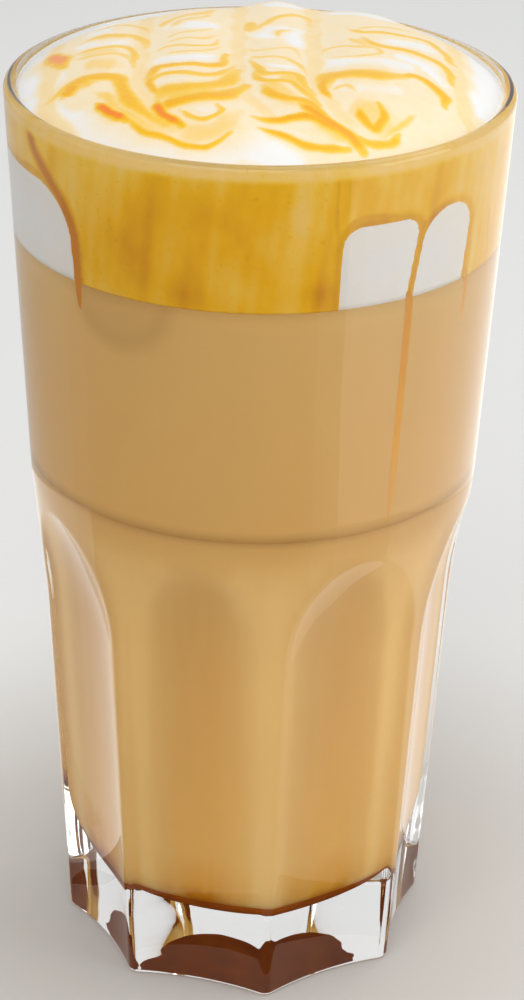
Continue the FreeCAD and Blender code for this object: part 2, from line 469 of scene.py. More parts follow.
def flute_middle(z):
    """Distance of a flute's middle line from the axis.

    It is a straight run m0 + slope z. At a way s past ARCH_FOOT the arc adds R - sqrt(R^2 - s^2), with
    R such that the line meets the body at ARCH_TOP.
    """
    lean = math.atan(FLANK_SLOPE)
    straight = flute_middle_at_base + FLANK_SLOPE * z
    body_at_arch = drawn_in_radius(ARCH_TOP) + WAIST_DRAW * (ARCH_TOP - ARCH_FOOT) / (WAIST_TOP - ARCH_FOOT)
    run_out = body_at_arch - flute_middle_at_base - FLANK_SLOPE * ARCH_TOP
    rise = (ARCH_TOP - ARCH_FOOT) / math.cos(lean)
    arc_radius = (rise ** 2 + run_out ** 2) / (2 * run_out)
    along = np.clip((z - ARCH_FOOT) / math.cos(lean), 0, ARC_LIMIT * arc_radius)
    return straight + arc_radius - np.sqrt(arc_radius ** 2 - along ** 2)


print("a flute's middle at the base, the foot of the arch and its top",
      flute_middle(np.array([0, ARCH_FOOT, ARCH_TOP])).round(2))


# %% Outside of the glass
# softness of the ridges: at the base, more up the flank, and next to none at the arches
BASE_EASE, FLANK_EASE, ARCH_EASE = 0.30, 0.15, -0.35


def smooth_step(value, low, high):
    """0 below low, 1 above high, and 3t^2 - 2t^3 between."""
    t = np.clip((value - low) / (high - low), 0, 1)
    return t * t * (3 - 2 * t)


def body_radius(z):
    """Outside of the turned body at this height."""
    return np.interp(z, outer_path[:, 1], outer_path[:, 0])


def outside_radius(azimuth, z):
    """Outer radius: the soft minimum of body and flute, body + (flute - body) s - e s (1 - s).

    The share s goes from 0 to 1 as the flute comes inside the body, over the softness e.
    """
    from_middle = (azimuth - FIRST_RIDGE_AZIMUTH) % FLUTE_PITCH - FLUTE_PITCH / 2
    body = body_radius(z)
    middle = flute_middle(z)
    reach = (flute_round + middle) * np.cos(from_middle)
    flute = reach - np.sqrt(reach ** 2 - middle * (middle + 2 * flute_round))
    ease = BASE_EASE + FLANK_EASE * smooth_step(z, 5, 40) + ARCH_EASE * smooth_step(z, 60, 80)
    share = np.clip(0.5 + 0.5 * (body - flute) / ease, 0, 1)
    return body + (flute - body) * share - ease * share * (1 - share)


base_radii = outside_radius(FIRST_RIDGE_AZIMUTH + FLUTE_PITCH * np.array([0, 0.5]), 0.0)
print("radius of the base at a ridge and a flute", base_radii.round(2))

# %% [markdown]
# ## The glass as one closed surface
#
# The rings go once round the whole section: underside, foot, outside, rim, inside and floor. The
# outside and the inside could be two shells with a Solidify between them, but the wall isn't even.
# The columns crowd towards the ridges, and the rows towards the arches and corners, where the
# surface turns fastest.

# %% Rings of the glass
FLUTE_COLUMNS = 48
FOOT_RING = PUNT_RADIUS + 2


def underside_rows(azimuth):
    """The hollow of the underside, (1 - (r / R)^2)^2 deep, the flat ring and the rounded foot."""
    hollow = [(r, PUNT_DEPTH * (1 - (r / PUNT_RADIUS) ** 2) ** 2) for r in np.linspace(2, PUNT_RADIUS, 12)]
    edge = outside_radius(azimuth, 0.0) - FOOT_ROUNDING
    flat = [(FOOT_RING + (edge - FOOT_RING) * share, 0.0) for share in (0, 0.3, 0.6, 0.85, 1.0)]
    foot = []
    for turn in np.linspace(0, math.pi / 2, 6)[1:]:
        z = FOOT_ROUNDING * (1 - math.cos(turn))
        foot.append((outside_radius(azimuth, z) - FOOT_ROUNDING * (1 - math.sin(turn)), z))
    return hollow + flat + foot


def outside_rows(azimuth):
    """The fluted outside, closest together at the arches."""
    heights = np.concatenate([np.linspace(FOOT_ROUNDING, 58, 34)[1:], np.linspace(58, 92, 66)[1:],
                              np.linspace(92, GLASS_HEIGHT - 1.5, 22)[1:]])
    return [(outside_radius(azimuth, z), z) for z in heights]


def inside_rows():
    """The rim, the inside with a row at least every 6 mm, and the floor."""
    low, high = GLASS_HEIGHT - 2, GLASS_HEIGHT
    rim = rounded_path([(flank_radius(low), low, 0), (RIM_RADIUS, high, RIM_ROUNDING),
                        (wall_radius(high), high, RIM_ROUNDING), (wall_radius(low), low, 0)], 8)
    wall = [(wall_radius(z), z) for z in np.linspace(low, LEDGE_HEIGHT + 4, 14)[1:]]
    below = inner_path[::-1]
    below = below[below[:, 1] < LEDGE_HEIGHT + 3.9]
    dense = [below[0]]
    for spot in below[1:-1]:
        count = max(1, int(np.linalg.norm(spot - dense[-1]) / 6))
        dense += [dense[-1] + (spot - dense[-1]) * k / count for k in range(1, count + 1)]
    return [*rim[1:], *wall, *dense, (12.0, FLOOR_LEVEL), (5.0, FLOOR_LEVEL)]


# %% The glass
crowded = np.sin(np.linspace(-0.5, 0.5, FLUTE_COLUMNS, endpoint=False) * math.pi) / 2
glass_azimuths = np.concatenate([FIRST_RIDGE_AZIMUTH + FLUTE_PITCH * (i + 0.5 + crowded)
                                 for i in range(FLUTE_COUNT)])
glass_rings = turned(underside_rows(glass_azimuths) + outside_rows(glass_azimuths) + inside_rows(),
                     glass_azimuths)
glass_points, glass_faces = closed_stack(glass_rings, (0, 0, PUNT_DEPTH), (0, 0, FLOOR_LEVEL))
glass = new_piece("drinking_glass", glass_points, glass_faces, ["glass"])

# %% [markdown]
# ## Finish of the glass
#
# Clear soda glass bends light with an index of about 1.5. Pressing and fire polishing leave its
# surface very slightly wavy, in long waves down the flank, and most in the thick base. Waves this
# shallow could be in the mesh, but it would need far finer faces, so they are a bump.

# %% Clear pressed glass
glass_look, tree, shader = new_material("clear_pressed_glass", Base_Color=(0.985, 0.99, 0.985, 1),
                                        Roughness=0.0, IOR=1.5, Transmission_Weight=1.0)
wave = noise(tree, 9.0, 1.0, (1, 1, 0.35))
base_wave = noise(tree, 8.0, 1.0, (1, 1, 0.6)) * (1.0 - height_on_object(tree).step(14.0, 22.0))
feed(shader, Normal=bump(tree, wave + 0.35 * base_wave, 0.05))
dress(glass, glass_look)

# %% [markdown]
# ## Coffee
#
# The milky coffee fills the glass from the syrup to the foam. The solid under it could be kept, but a
# hair of air would show between it and the glass. This surface reaches a tenth of a millimetre into
# the wall, so the drink meets the glass as a wet surface does.

# %% The coffee
INTO_WALL = 0.12
FILLING_COLUMNS = 192
LEAST_ROOM = 0.3
upright_path = inner_path[inner_path[:, 0] > 1]


def filling_radius(z):
    """Radius of a filling: the inside of the glass and a little more."""
    return np.interp(z, upright_path[:, 1], upright_path[:, 0]) + INTO_WALL


under_ledge, over_ledge = LEDGE_HEIGHT - 4, LEDGE_HEIGHT + 4
coffee_levels = np.concatenate([
    np.linspace(SYRUP_LEVEL, 30, 16), np.linspace(30, under_ledge, 16)[1:],
    np.linspace(under_ledge, over_ledge, 40)[1:], np.linspace(over_ledge, COFFEE_LEVEL, 12)[1:]])
coffee_radii = filling_radius(coffee_levels)
coffee_rows = [(share * coffee_radii[0], SYRUP_LEVEL) for share in (0.3, 0.7, 0.95)]
coffee_rows += zip(coffee_radii, coffee_levels)
coffee_rows += [(share * coffee_radii[-1], COFFEE_LEVEL) for share in (0.98, 0.7, 0.3)]
coffee_rings = turned(coffee_rows, all_round(FILLING_COLUMNS))
coffee_points, coffee_faces = closed_stack(coffee_rings, (0, 0, SYRUP_LEVEL), (0, 0, COFFEE_LEVEL))


def light_through_ridges(points):
    """Share (outside - middle) / (body - middle): 0 at a flute's middle and 1 at a ridge.

    A ridge gathers light, as a lens does. Above the arches there are none, so the share fades out.
    """
    azimuth, z = np.arctan2(points[:, 0], -points[:, 1]), points[:, 2]
    middle, body = flute_middle(z), body_radius(z)
    room = np.maximum(body - middle, LEAST_ROOM)
    share = np.clip((outside_radius(azimuth, z) - middle) / room, 0, 1)
    return share * (1 - smooth_step(z, ARCH_TOP - 6, ARCH_TOP + 2))


coffee = new_piece("coffee_with_milk", coffee_points, coffee_faces, ["coffee"],
                   {"ridge": light_through_ridges(coffee_points)})

# %% [markdown]
# ## Colour of the coffee
#
# The coffee is amber just over the syrup and greyer towards the foam, with soft clouds and a dark swirl
# under the foam's edge. A painted shade darkens it in a band round the ledge. Behind the ridges it
# glows, because they gather light. The glow could be left to the glass alone, but light bent through
# glass renders slowly and with grain, so a share of it is painted on with the number stored at each
# point, together with soft streaks of painted light below the arches.

# %% Milky coffee
SWIRL_AZIMUTH, SWIRL_HEIGHT = math.radians(-33), 131

coffee_look, tree, shader = new_material("milky_coffee", Roughness=0.35, IOR=1.33, Specular_IOR_Level=0.0)
height = height_on_object(tree)
cloud = noise(tree, 22.0, 2.0, (1, 1, 0.4))
fine = noise(tree, 4.0, 2.0, (1, 1, 0.12))
depth = height / COFFEE_LEVEL + (cloud - 0.5) * 0.07 + (fine - 0.5) * 0.05
drink = ramp(tree, depth, (0.12, under_glass(184, 116, 30)), (0.145, under_glass(212, 156, 68)),
             (0.20, under_glass(218, 172, 98)), (0.48, under_glass(204, 163, 98)),
             (0.66, under_glass(203, 164, 101)), (0.97, under_glass(199, 165, 106)))

below_arches = 1.0 - height.step(74.0, 90.0)
# soft vertical streaks of painted light, below the arches only, added to the painted glow behind the ridges
painted_light_streaks = noise(tree, 4.5, 2.0, (1, 1, 0.03))
glow = attribute(tree, "ridge") * 0.85 + (painted_light_streaks - 0.5) * 0.7 * below_arches
lit = blend(tree, glow.at_least(0.0).at_most(1.0), drink, under_glass(229, 180, 119))

swirl_middle = around(wall_radius(SWIRL_HEIGHT), SWIRL_AZIMUTH, SWIRL_HEIGHT).tolist()
from_swirl = new_node(tree, "ShaderNodeVectorMath", {"operation": "DISTANCE"},
                      {0: place_on_object(tree), 1: swirl_middle}, "Value")
swirl = (1.0 - from_swirl.step(7.0, 11.0)) * (0.6 + 0.4 * from_swirl.step(5.0, 9.0))
# painted shade: the coffee is darker in a band round the ledge, where the step keeps light off it
painted_ledge_shade = height.step(88.0, 90.6) * (1.0 - height.step(91.2, 93.4)) * (0.15 + 0.6 * cloud)
# darker tone of the swirl and the clouds, together with the painted ledge shade
darker_tone_and_ledge_shade = (0.30 * swirl + 0.22 * (cloud - 0.45).at_least(0.0)).at_least(painted_ledge_shade * 0.75)
feed(shader, Base_Color=blend(tree, darker_tone_and_ledge_shade, lit, under_glass(146, 110, 62)))
dress(coffee, coffee_look)

# %% [markdown]
# ## Syrup
#
# A little caramel has settled on the floor of the glass, and the thick base gathers its colour into
# brown patches. It could be a tint at the foot of the coffee, but then the base would show coffee
# from below. So it is a surface of its own, which follows the rounded floor.

# %% The settled syrup
SYRUP_TOP = SYRUP_LEVEL + 0.05

floor_path = inner_path[(inner_path[:, 1] < SYRUP_LEVEL) & (inner_path[:, 0] > 1)]
ahead = np.gradient(floor_path, axis=0)
outward = np.stack([ahead[:, 1], -ahead[:, 0]], axis=1)
floor_path = floor_path + outward / np.linalg.norm(outward, axis=1)[:, None] * INTO_WALL
syrup_rows = [(share * floor_path[0, 0], floor_path[0, 1]) for share in (0.3, 0.7)]
syrup_rows += list(floor_path)
syrup_rows += [(share * filling_radius(SYRUP_LEVEL), SYRUP_TOP) for share in (1, 0.9, 0.5, 0.2)]
syrup_rings = turned(syrup_rows, all_round(FILLING_COLUMNS))
syrup_points, syrup_faces = closed_stack(syrup_rings, (0, 0, FLOOR_LEVEL - INTO_WALL), (0, 0, SYRUP_TOP))
syrup = new_piece("settled_caramel", syrup_points, syrup_faces, ["caramel_syrup"])

# %% Amber syrup
syrup_look, tree, shader = new_material("settled_caramel", Roughness=0.3, IOR=1.45, Specular_IOR_Level=0.0)
feed(shader, Base_Color=ramp(tree, noise(tree, 8.0, 3.0), (0.3, under_glass(140, 72, 6)),
                             (0.75, under_glass(166, 92, 12))))
dress(syrup, syrup_look)

# %% [markdown]
# ## Form of the foam
#
# The foam fills the glass from the coffee up and was heaped and levelled into a flat dome with a
# steep shoulder near the rim. The skewer left shallow valleys from rear to front, which bend a
# little to the right. It could be sculpted. A dome of the form 1 - d^4 has the flat top and the
# steep shoulder, and bell curves added to it and taken off give the humps and valleys.

# %% Dome of the foam
FOAM_EDGE = GLASS_HEIGHT - 1.4
FOAM_RISE, FOAM_SHOULDER, FOAM_LEAN = 7.0, 4.0, 2.0
STROKE_PLACES = (-18.8, -3.6, 8.4)
STROKE_DEPTH, STROKE_WIDTH = 0.9, 4.6
STROKE_BEND, BEND_FROM = 0.022, -12
# height, place from left to right
REAR_HUMPS = ((1.0, 2.5), (0.8, 19))
HUMP_WIDTH = 5.5
foam_radius = wall_radius(FOAM_EDGE) + 0.1


def bell(distance, width):
    """1 at no distance and falling off as exp(-(distance / width)^2)."""
    return np.exp(-(distance / width) ** 2)


def front_bend(y):
    """How far the strokes have bent to the right: with the square of the way past BEND_FROM."""
    return STROKE_BEND * np.minimum(y - BEND_FROM, 0) ** 2


def foam_dome(x, y):
    """Height of the foam's top: a dome 1 - d^4 that leans to the right, less the skewer's valleys."""
    lean = 1 - np.minimum(np.hypot(x, y) / foam_radius, 1) ** 2
    from_top = np.hypot(x - FOAM_LEAN * lean, y) / foam_radius
    dome = np.maximum(1 - from_top ** FOAM_SHOULDER, 0)
    valleys = sum(bell(x - place - front_bend(y), STROKE_WIDTH) for place in STROKE_PLACES)
    humps = sum(height * bell(x - place, HUMP_WIDTH) for height, place in REAR_HUMPS)
    rear = smooth_step(y, 14, 30) * smooth_step(foam_radius - np.hypot(x, y), 0, 4)
    return FOAM_EDGE + FOAM_RISE * dome - STROKE_DEPTH * valleys * dome + humps * rear


print("the foam stands", round(float(foam_dome(0, 0)) - GLASS_HEIGHT, 2), "over the rim at the axis")

# %% [markdown]
# ## Lines of caramel
#
# Caramel was poured over the foam from side to side, and each pull of the skewer drew the lines into
# hooks. They could be painted by hand. Here each is a smooth curve through a few corners, and the
# amount of caramel falls off with the distance from it, so colour and relief come from one formula.

# %% Curves and the distance to them
def smooth_line(corners, count=24):
    """Points on a Catmull-Rom curve: cubics whose slope at a corner is half its neighbours' step."""
    corners = np.array(corners, float)
    padded = np.concatenate([[2 * corners[0] - corners[1]], corners, [2 * corners[-1] - corners[-2]]])
    place = np.linspace(0, len(corners) - 1, count)
    first = np.minimum(place.astype(int), len(corners) - 2)
    t = (place - first)[:, None]
    a, b, c, d = (padded[first + k] for k in range(4))
    return 0.5 * (2 * b + (c - a) * t + (2 * a - 5 * b + 4 * c - d) * t ** 2
                  + (3 * b - a - 3 * c + d) * t ** 3)


def distance_to(line, x, y):
    """Shortest distance from each point p to a line of points, and how far along it is met.

    On the stretch from a to b the nearest spot is at the share (p - a) . (b - a) / |b - a|^2 of it.
    """
    best = np.full(np.shape(x), np.inf)
    along = np.zeros(np.shape(x))
    for i in range(len(line) - 1):
        (ax, ay), (bx, by) = line[i], line[i + 1]
        length = (bx - ax) ** 2 + (by - ay) ** 2 + 1e-12
        t = np.clip(((x - ax) * (bx - ax) + (y - ay) * (by - ay)) / length, 0, 1)
        gap = np.hypot(x - ax - t * (bx - ax), y - ay - t * (by - ay))
        along = np.where(gap < best, (i + t) / (len(line) - 1), along)
        best = np.minimum(gap, best)
    return best, along


# %% Places of the lines
# Half width, strength, corners. The lines cross the panels between the strokes and are pulled to the
# front at the first, third and last stroke and to the rear at the second.
CARAMEL_LINES = [
    (1.0, 0.75, [(-29, 7.5), (-26, 9), (-23, 9.3), (-20.5, 8.5), (-19, 5.5), (-18, 2)]),
    (0.7, 0.75, [(-30, 1), (-27, 2), (-23, 2.2), (-20.5, 1), (-20, -3), (-19.5, -8)]),
    (1.6, 0.48, [(-29, 0.5), (-22, 0)]),
    (0.6, 0.6, [(-30, -1), (-26, -1.5), (-22, -1.8), (-20.5, -4)]),
    (1.4, 1.22, [(-33.2, 7), (-33, 2.5), (-31.8, 0.5), (-31, -3)]),
    (2.6, 0.52, [(-28, -5), (-22, -6.5)]),
    (1.2, 0.95, [(-33, -15), (-30, -12.8), (-27, -11), (-24, -11), (-21.5, -13), (-21, -17), (-19.5, -21),
                 (-17, -25), (-14, -28.5)]),
    (1.2, 1.05, [(-30.5, -15.2), (-28.5, -12)]),
    (1.0, 0.6, [(-26, -16), (-23, -19), (-21, -23), (-18, -27), (-15, -30)]),
    (0.9, 1.28, [(-24.6, -20.2), (-22.6, -23.2), (-20.2, -26.4)]),
    (0.55, 0.95, [(-21.5, -24.4), (-18, -28.5), (-14, -31.5), (-10, -33.5), (-7, -34.2), (-4.5, -32)]),
    (2.3, 0.50, [(-24, -17), (-20, -23), (-15, -28), (-9, -31)]),
    (1.7, 0.72, [(-31.5, -13.8), (-28, -12.2), (-25, -12)]),
    (1.3, 0.62, [(-28, 8.3), (-24, 9), (-21, 8)]),
    (2.2, 0.66, [(-15.5, -19.8), (-10, -20), (-6, -18.5)]),
    (1.9, 0.56, [(1, -15), (3, -20), (7, -25)]),
    (1.5, 0.62, [(3, -12.8), (6, -16), (8, -21)]),
    (1.9, 0.66, [(7, -26), (11, -29.5), (14, -32)]),
    (2.6, 0.52, [(14, -22), (17, -25), (19, -29)]),
    (2.0, 0.74, [(11.5, -11.8), (16, -12), (21.5, -11.4)]),
    (0.9, 0.75, [(-2.2, 15.5), (-1.5, 10.5)]),
    (0.9, 0.66, [(15, 11), (15.5, 9)]),
    (1.3, 0.50, [(14.5, 5), (17, 3), (20, 2)]),
    (0.8, 0.65, [(-16.5, 12), (-15.5, 15), (-13, 18), (-9, 20), (-8, 24)]),
    (0.6, 0.55, [(-15, 11), (-13, 14.5), (-10, 16.5), (-8, 20)]),
    (0.5, 0.55, [(-15.5, 5), (-13, 7), (-10, 7.8), (-8.2, 9.5)]),
    (0.5, 0.55, [(-16, 2), (-13, 3.6), (-9, 4), (-7, 6.5)]),
    (0.5, 0.65, [(-16.5, -1.5), (-14.5, 0.2), (-11, 0), (-8, 1), (-6.5, 4.5)]),
    (0.5, 0.55, [(-15.5, -3.5), (-12, -2.8), (-8.5, -2.2), (-6.5, 1)]),
    (0.8, 0.95, [(-17.5, -14), (-17, -11), (-15.5, -8.8), (-12, -9.3), (-8, -9.3), (-6, -7), (-5.3, -3)]),
    (0.8, 0.8, [(-16.8, -16), (-16, -12.5), (-13, -12.8), (-9, -13.5), (-6, -12), (-4.5, -8.5)]),
    (0.6, 0.95, [(-17, -12), (-16.6, -16), (-15.8, -20)]),
    (1.5, 0.85, [(-15.5, -22), (-14.5, -18.8), (-11, -18.5), (-7, -17.8), (-4.5, -14), (-3.8, -10.5)]),
    (1.4, 1.0, [(-15, -23), (-13, -22.5), (-9, -22.3), (-5, -21), (-2.5, -17)]),
    (0.9, 1.25, [(-15.6, -21.6), (-14.4, -25.6), (-11.8, -29.2)]),
    (0.5, 0.8, [(-12, -25), (-10, -27.5), (-7.5, -28), (-5.5, -26.5), (-6.5, -24.5)]),
    (2.2, 0.52, [(-13, -30), (-7, -31), (-3, -27)]),
    (0.8, 0.65, [(-3, 16), (-2.2, 12), (-1.3, 10.5), (0.5, 13.5), (3, 17), (5.5, 19), (7.5, 18), (8.3, 14)]),
    (0.5, 0.6, [(2.5, 6), (3, 8.5), (4.5, 10)]),
    (0.6, 0.5, [(-2.5, 1.5), (-1, -0.5), (2, -0.5), (5.5, 0), (6, -4)]),
    (0.5, 0.6, [(-2, -2.5), (0, -4.5), (4, -5), (6.5, -8), (7, -12)]),
    (0.8, 0.85, [(-1.5, -5), (-0.5, -10), (1, -12.5), (5, -12.3), (6.5, -15), (8, -20)]),
    (0.8, 0.85, [(-1, -10), (0, -14.5), (2, -16), (5, -16.2), (6.5, -19), (9, -24)]),
    (0.9, 0.95, [(0, -17), (1.5, -20.5), (4, -22), (7, -23), (10, -27), (13, -31)]),
    (1.0, 1.1, [(6, -23.5), (8, -26), (10.5, -28), (14, -31.5), (15.5, -33)]),
    (0.9, 1.05, [(-1, -27.8), (3, -28.2), (7, -27.6), (9.5, -28.5), (13, -31), (14.5, -32.5)]),
    (0.7, 1.0, [(0, -30.5), (3, -32), (7, -33.4), (11, -34), (13.5, -33.5)]),
    (0.7, 0.9, [(13.5, -30.5), (16, -31), (20, -30), (21, -28)]),
    (0.7, 0.8, [(14, 12), (15, 9.5), (17, 9), (20, 9.8), (24, 9.8), (27, 9), (29, 5), (30, 0), (31, -1)]),
    (0.6, 0.55, [(15, 10), (18, 13), (21, 14), (25, 14)]),
    (0.5, 0.6, [(14, 6), (15.5, 3), (17, 1.5)]),
    (0.8, 0.85, [(16, 6), (18, 3), (21, 1.3), (25, 0.3), (28, -2), (29.5, -6), (30, -9.5)]),
    (0.5, 0.6, [(10, -3), (10, 1), (12, 1.6), (15, 1), (18, 1), (18.5, -2), (15, -3.5), (11, -3.5)]),
    (1.6, 0.9, [(10.2, -17), (10, -12.5), (13, -12), (18, -12), (22, -11)]),
    (0.7, 1.0, [(10.5, -21), (9.6, -16), (9.8, -11.5)]),
    (0.8, 0.95, [(21, -11.5), (23.5, -10.5), (26, -12), (28.5, -15), (28.3, -18)]),
    (0.7, 1.0, [(14.5, -23), (15.5, -26), (17.5, -28), (18.5, -25), (18, -22)]),
    (3.0, 0.48, [(13, -22), (20, -25)]),
    (0.6, 0.6, [(24, -22), (21, -26), (19, -29)]),
    (0.5, 0.55, [(11, -18), (13, -16.5), (14.5, -18)]),
    (0.7, 0.6, [(-16, 33), (-12, 34.5), (-8, 34)]),
    (0.6, 0.65, [(-1, 32), (4, 33.5), (10, 32)]),
    (0.7, 0.65, [(18, 31), (23, 29.5), (28, 25)]),
    (0.7, 0.6, [(-28, 16), (-24, 18), (-20, 15), (-18, 10)]),
]

# %% White patches
# White foam left between the lines: half width, corners
FOAM_PATCHES = [
    (1.4, [(-28, 5), (-21, 5.3)]), (2.4, [(-14, 12.5), (-9, 11.5)]), (1.7, [(-15, -6.2), (-7, -5.8)]),
    (0.9, [(-15, -15.8), (-7, -16)]), (2.8, [(1, 8), (5, 9), (6.5, 4)]), (0.8, [(0, -18.2), (4, -19.3)]),
    (2.2, [(11, -6.5), (22, -6.8)]), (1.6, [(13, -16.5), (20, -16.8)]), (1.8, [(21, 5), (27, 4.5)]),
    (1.3, [(-32.5, -4), (-31.5, -9)]), (2.4, [(-36, -12), (-31, -20), (-25, -27), (-18, -33), (-10, -37)]),
    (2.8, [(-6, -35.5), (-2, -34), (4, -37)]), (0.7, [(3, -31.2), (7, -32)]), (0.8, [(-9, -25), (-7, -26)]),
    (1.8, [(-27, 24), (-26, 12)]), (2.6, [(36, 12), (36, -5), (34, -13)]), (1.0, [(26, -6), (28.5, -10)]),
    (1.8, [(-36, 15), (-37, 0), (-36.5, -8)]), (1.3, [(22, -2.5), (27, -5)]), (0.8, [(1, -8.5), (5, -9)]),
    (2.0, [(-12, 27), (-7, 29)]), (2.2, [(13, 24), (20, 22)]), (1.8, [(2, 25), (7, 26)]),
]
print(len(CARAMEL_LINES), "lines and", len(FOAM_PATCHES), "patches")

# %% [markdown]
# The foam between the lines isn't white. A thin film of caramel tints it everywhere but in the white
# patches, and the skewer leaves a pale stripe along each stroke. A line is strongest along its
# middle, is thinner where the pouring began, fades where it ends, and has a soft halo. Each could be
# a layer of its own. As the largest of all amounts, they join without an edge.

# %% Amount of caramel on the foam
FILM = 0.30
STRIPE = 0.40
STRIPE_PLACES = (-33.0, *STROKE_PLACES, 31.0)


def wobbled(x, y):
    """The same places, moved by a quarter of a millimetre in slow waves, so that no line is too clean."""
    return (x + 0.25 * np.sin(0.8 * y + 0.3 * x) + 0.05 * np.sin(2.2 * y - 0.9 * x + 1),
            y + 0.25 * np.sin(0.7 * x - 0.4 * y + 2) + 0.05 * np.sin(2.1 * x + 1.3 * y))


def caramel_on_foam(x, y):
    """Amount of caramel on the foam: a film, white patches in it, pale stripes and the poured lines.

    At a distance d from a line of half width w its core is exp(-(d / 1.3 w)^3) and its halo
    exp(-(d / 2.5 w)^2), each times its strength. The largest of all amounts counts.
    """
    x, y = wobbled(x, y)
    amount = np.full(np.shape(x), FILM)
    for width, corners in FOAM_PATCHES:
        gap, _ = distance_to(smooth_line(corners), x, y)
        amount = amount * smooth_step(gap, 0.5 * width, 1.35 * width)
    for place in STRIPE_PLACES:
        across = np.abs(x - place - front_bend(y))
        stripe = STRIPE * (1 - smooth_step(across, 0.8, 2.6)) * smooth_step(y, -33, -27)
        amount = np.maximum(amount, stripe)
    for width, strength, corners in CARAMEL_LINES:
        gap, along = distance_to(smooth_line(corners), x, y)
        fade = smooth_step(along, -0.05, 0.2) * (1 - 0.5 * smooth_step(along, 0.75, 1.0))
        width = width * (0.45 + 0.55 * fade)
        core = strength * (0.5 + 0.5 * fade) * np.exp(-(gap / (1.3 * width)) ** 3)
        halo = (0.30 + 0.22 * strength) * bell(gap, 2.5 * width)
        amount = np.maximum(amount, np.maximum(core, halo * (0.5 + 0.5 * fade)))
    return amount


# %% [markdown]
# ## The foam as one closed surface
#
# The caramel stands on the foam in low relief, highest where there is most of it. It could be a
# bump, but its edges catch light from low angles, so it is in the mesh. The rings are close enough
# for the thinnest lines. The top of the side keeps a smear of caramel from where the rim was wiped.

# %% The foam
FOAM_COLUMNS, FOAM_RINGS, FOAM_SIDE_ROWS = 600, 130, 24
FOAM_FOOT = COFFEE_LEVEL - 0.1
CARAMEL_RELIEF = 0.22

foam_azimuths = all_round(FOAM_COLUMNS)
foam_rows = [(r, FOAM_FOOT) for r in (12.0, 26.0)]
foam_rows += [(wall_radius(z) + 0.1, z) for z in np.linspace(FOAM_FOOT, FOAM_EDGE, FOAM_SIDE_ROWS)]
for radius in np.linspace(foam_radius, 0.3, FOAM_RINGS)[1:]:
    x, y = radius * np.sin(foam_azimuths), -radius * np.cos(foam_azimuths)
    relief = CARAMEL_RELIEF * np.minimum(caramel_on_foam(x, y), 1.0)
    foam_rows.append((radius, foam_dome(x, y) + relief * smooth_step(foam_radius - radius, 0, 2)))
foam_rings = turned(foam_rows, foam_azimuths)
foam_top = float(foam_rings[-1, :, 2].mean())
foam_points, foam_faces = closed_stack(foam_rings, (0, 0, FOAM_FOOT), (0, 0, foam_top))

foam_x, foam_y, foam_z = foam_points.T
wiped_rim = 0.55 * smooth_step(foam_z, FOAM_EDGE - 3.5, FOAM_EDGE - 1.5)
caramel = np.where(foam_z > FOAM_EDGE - 1e-6, caramel_on_foam(foam_x, foam_y), wiped_rim)
foam = new_piece("domed_milk_foam", foam_points, foam_faces, ["milk_foam"],
                 {"caramel": caramel})
print("top of the foam at", round(foam_top, 2), "and the most caramel", round(float(caramel.max()), 2))

# %% [markdown]
# ## Finish of the foam
#
# Fine milk foam is white and matt, and caramel on it goes from cream over gold to orange as it gets
# thicker, and is glossier. Two materials with a mask would give a hard edge. One ramp over the
# amount of caramel gives every colour between, and fine noise stands for bubbles and wisps.

# %% Milk foam with caramel
CARAMEL_SPAN = 1.25

foam_look, tree, shader = new_material("milk_foam_with_caramel", IOR=1.35, Specular_IOR_Level=0.4)
bubbles = noise(tree, 0.5, 3.0)
wisps = noise(tree, 2.5, 3.0)
amount = attribute(tree, "caramel") + (wisps - 0.5) * 0.16 + (bubbles - 0.5) * 0.06
colour = ramp(tree, amount / CARAMEL_SPAN, (0.0, srgb(248, 248, 247)), (0.24, srgb(254, 235, 197)),
              (0.38, srgb(255, 221, 150)), (0.50, srgb(255, 211, 98)), (0.64, srgb(254, 202, 50)),
              (0.80, srgb(252, 186, 16)), (1.0, srgb(254, 140, 40)))
feed(shader, Base_Color=colour, Roughness=0.55 - 0.3 * amount.at_least(0.0).at_most(1.0),
     Normal=bump(tree, bubbles + wisps * 0.5, 0.06))
dress(foam, foam_look)

# %% [markdown]
# ## Openings in the caramel on the wall
#
# The caramel was run round the inside of the wall before the foam went in, and it lies between foam
# and glass. Where it has run down it has left tall openings with round shoulders. They could be cut
# out of the coat, but cut edges are hard and thin. As a distance to the nearest opening's edge, the
# openings shape both the surface, which dips behind the foam there, and the bead round them.

# %% Distance to an opening
# azimuth, width at the bottom, width at the top, height, lean, corner rounding
OPENINGS = (
    (-74.0, 36.0, 34.0, 14.2, 0.0, 8.0),
    (27.7, 11.1, 12.6, 13.0, 1.1, 2.8),
    (46.6, 10.6, 9.8, 13.4, 1.6, 4.6),
    (128.0, 15.0, 11.0, 12.0, -1.0, 4.5),
    (-152.0, 19.0, 15.0, 10.5, 1.5, 4.5),
)


def turned_away(azimuth, middle):
    """Angle from the middle to the azimuth, from minus half a turn to half a turn."""
    return (azimuth - middle + math.pi) % (2 * math.pi) - math.pi


def opening_distance(azimuth, z):
    """Distance to the nearest opening's edge, negative inside.

    Each is a trapezium with round corners: the distance of the point from it, shrunk by the rounding,
    less the rounding.
    """
    nearest = np.full(np.shape(azimuth), np.inf)
    for middle, bottom, top, height, lean, rounding in OPENINGS:
        up = (z - COFFEE_LEVEL) / height
        across = turned_away(azimuth, math.radians(middle)) * wall_radius(COFFEE_LEVEL + height / 2)
        side = np.abs(across - lean * up) - (bottom + (top - bottom) * up) / 2 + rounding
        over = z - COFFEE_LEVEL - height + rounding
        corner = np.hypot(np.maximum(side, 0), np.maximum(over, 0))
        nearest = np.minimum(nearest, corner + np.minimum(np.maximum(side, over), 0) - rounding)
    return nearest


